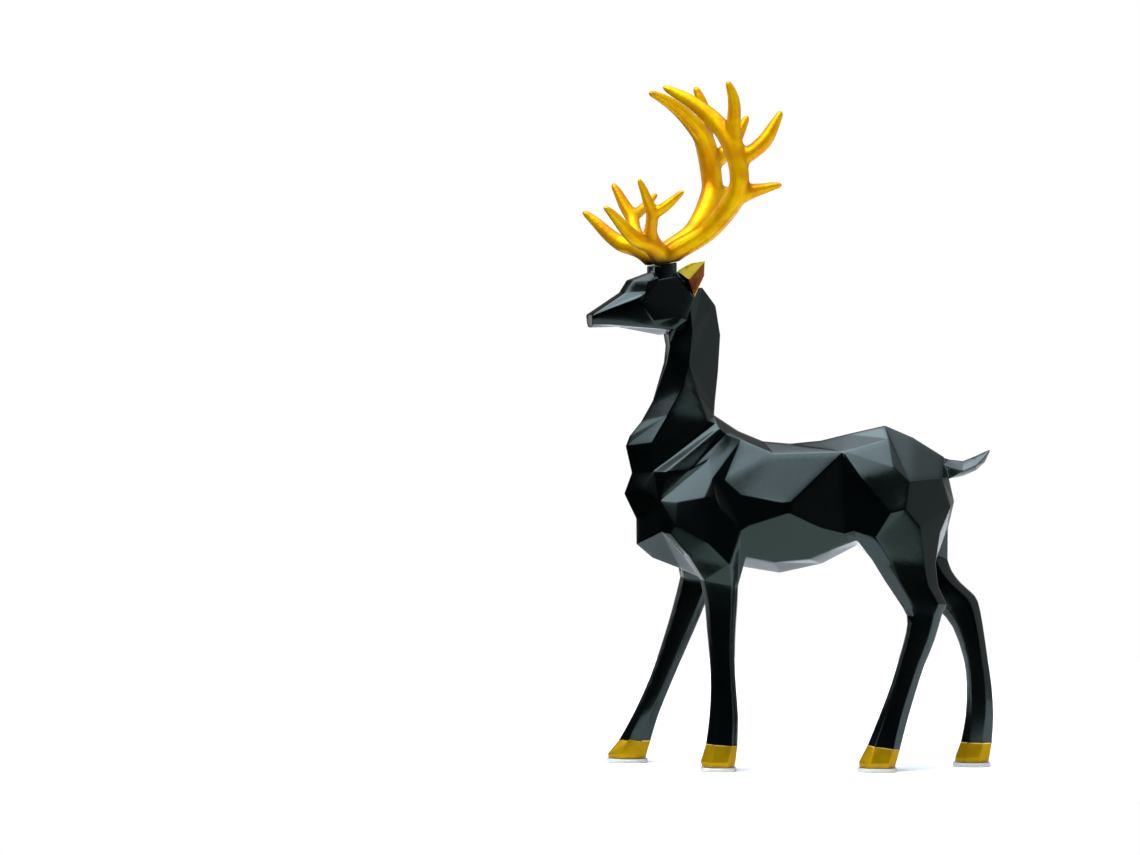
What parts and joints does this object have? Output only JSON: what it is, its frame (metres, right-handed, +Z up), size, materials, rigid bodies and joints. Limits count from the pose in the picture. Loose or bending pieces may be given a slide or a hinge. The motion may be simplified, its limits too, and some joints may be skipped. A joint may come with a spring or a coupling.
{
  "type": "geometric deer statue",
  "caption": "Standing stag statuette with faceted body, branching antlers set on the head and a clear pad under each hoof; it stands on a flat surface by its own weight.",
  "frame": {"origin": "on the ground under the middle of the statuette's overall outline", "axes": "+Z up, -X the way the deer faces, -Y the deer's left side"},
  "size_m": [0.1874, 0.0764, 0.31],
  "materials": {
    "body": "glossy black lacquer on cast resin",
    "antler_left": "satin gold paint on cast resin",
    "antler_right": "satin gold paint on cast resin",
    "pad_fore_left": "clear soft pad",
    "pad_fore_right": "clear soft pad",
    "pad_hind_left": "clear soft pad",
    "pad_hind_right": "clear soft pad"
  },
  "bodies": {
    "root": {"body": "body", "antler_left": "antler_left", "antler_right": "antler_right", "pad_fore_left": "pad_fore_left", "pad_fore_right": "pad_fore_right", "pad_hind_left": "pad_hind_left", "pad_hind_right": "pad_hind_right"}
  },
  "joints": []
}
